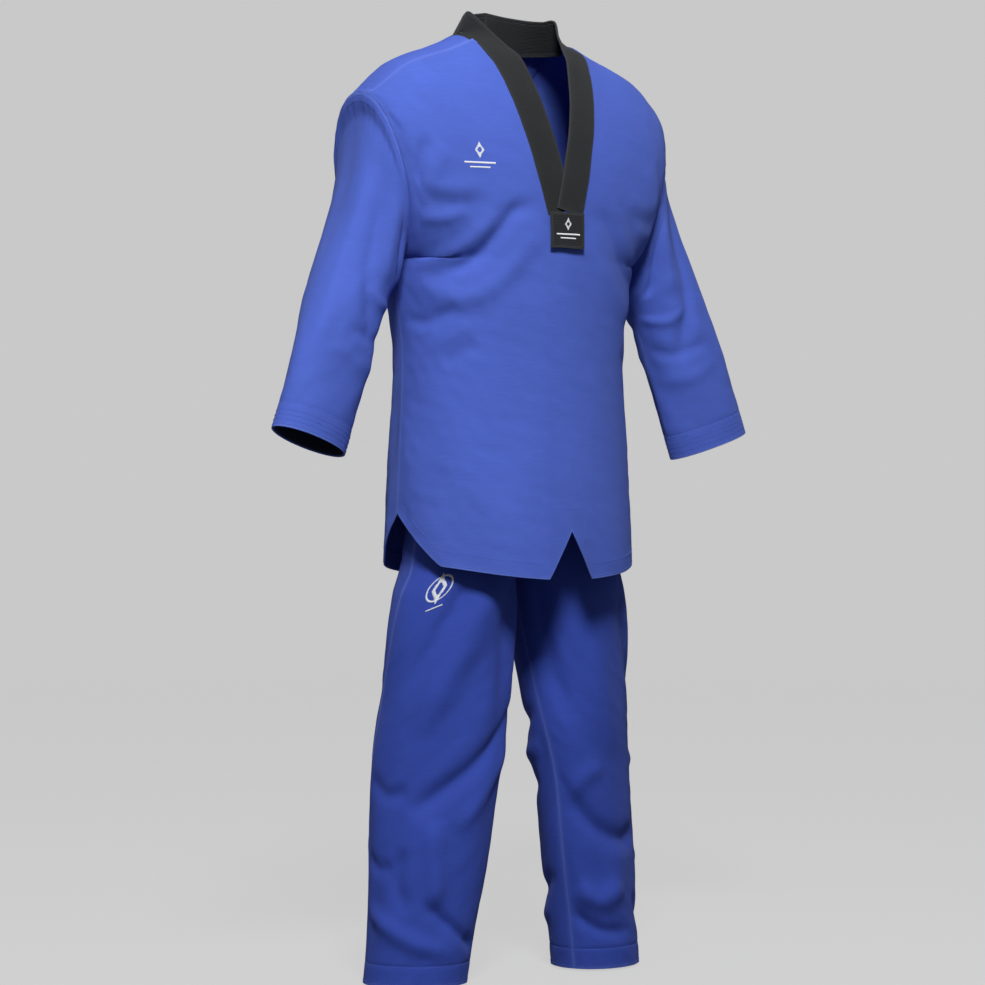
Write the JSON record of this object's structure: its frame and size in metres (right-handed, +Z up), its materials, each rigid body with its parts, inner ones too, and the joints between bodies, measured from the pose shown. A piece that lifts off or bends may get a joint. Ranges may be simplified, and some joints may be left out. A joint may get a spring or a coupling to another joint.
{
  "type": "martial arts uniform",
  "caption": "V-neck pull-over martial arts jacket with a dark crossed collar band, side slits and a notched hem, over wide straight trousers, shaped as worn.",
  "frame": {"origin": "middle of the neck base, level with the tops of the shoulders, where the wearer's shoulders hold the jacket", "axes": "+Z up, -Y is the front, +X is the wearer's left"},
  "size_m": [0.8252, 0.2984, 1.4002],
  "materials": {
    "jacket_cloth": "matte",
    "trouser_cloth": "matte",
    "collar_cloth": "matte",
    "interlining": "matte",
    "embroidery": "satin",
    "elastic": "matte"
  },
  "bodies": {
    "jacket": {"front_panel": "jacket_cloth", "back_panel": "jacket_cloth", "left_slit_tack": "jacket_cloth", "right_slit_tack": "jacket_cloth", "left_collar_band": "collar_cloth", "right_collar_band": "collar_cloth", "left_collar_interlining": "interlining", "right_collar_interlining": "interlining", "lapel_patch": "collar_cloth", "patch_emblem": "embroidery", "chest_emblem": "embroidery"},
    "front_flap": {"front_tail": "jacket_cloth", "right_front_hem_facing": "jacket_cloth", "left_front_hem_facing": "jacket_cloth", "notch_facing": "jacket_cloth"},
    "back_flap": {"back_tail": "jacket_cloth", "back_hem_facing": "jacket_cloth"},
    "arm_left": {"left_sleeve": "jacket_cloth", "left_cuff_facing": "jacket_cloth"},
    "arm_right": {"right_sleeve": "jacket_cloth", "right_cuff_facing": "jacket_cloth"},
    "trousers": {"seat_front": "trouser_cloth", "seat_back": "trouser_cloth", "waistband_casing": "trouser_cloth", "waist_elastic": "elastic", "crotch_gusset": "trouser_cloth"},
    "leg_left": {"left_leg_front": "trouser_cloth", "left_leg_back": "trouser_cloth", "left_leg_front_hem_facing": "trouser_cloth", "left_leg_back_hem_facing": "trouser_cloth"},
    "leg_right": {"right_leg_front": "trouser_cloth", "right_leg_back": "trouser_cloth", "right_leg_front_hem_facing": "trouser_cloth", "right_leg_back_hem_facing": "trouser_cloth", "thigh_emblem": "embroidery"}
  },
  "joints": [
    {"name": "front_tail_lift", "type": "hinge", "parent": "jacket", "child": "front_flap", "pos_m": [0, -0.1546, -0.68], "axis": [-1, 0, 0], "range_deg": [0, 25]},
    {"name": "back_tail_lift", "type": "hinge", "parent": "jacket", "child": "back_flap", "pos_m": [0, 0.1356, -0.68], "axis": [1, 0, 0], "range_deg": [0, 25]},
    {"name": "left_sleeve_swing", "type": "hinge", "parent": "jacket", "child": "arm_left", "pos_m": [0.23, 0, -0.21], "axis": [-0.9703, 0, 0.2419], "range_deg": [-20, 90]},
    {"name": "right_sleeve_swing", "type": "hinge", "parent": "jacket", "child": "arm_right", "pos_m": [-0.23, 0, -0.21], "axis": [-0.9703, 0, -0.2419], "range_deg": [-20, 90]},
    {"name": "trousers_slide", "type": "slide", "parent": "jacket", "child": "trousers", "axis": [0, 0, -1], "range_m": [0, 0.42]},
    {"name": "left_leg_swing", "type": "hinge", "parent": "trousers", "child": "leg_left", "pos_m": [0.088, 0, -0.65], "axis": [-1, 0, 0], "range_deg": [-10, 8]},
    {"name": "right_leg_swing", "type": "hinge", "parent": "trousers", "child": "leg_right", "pos_m": [-0.088, 0, -0.65], "axis": [-1, 0, 0], "range_deg": [-10, 8]}
  ]
}
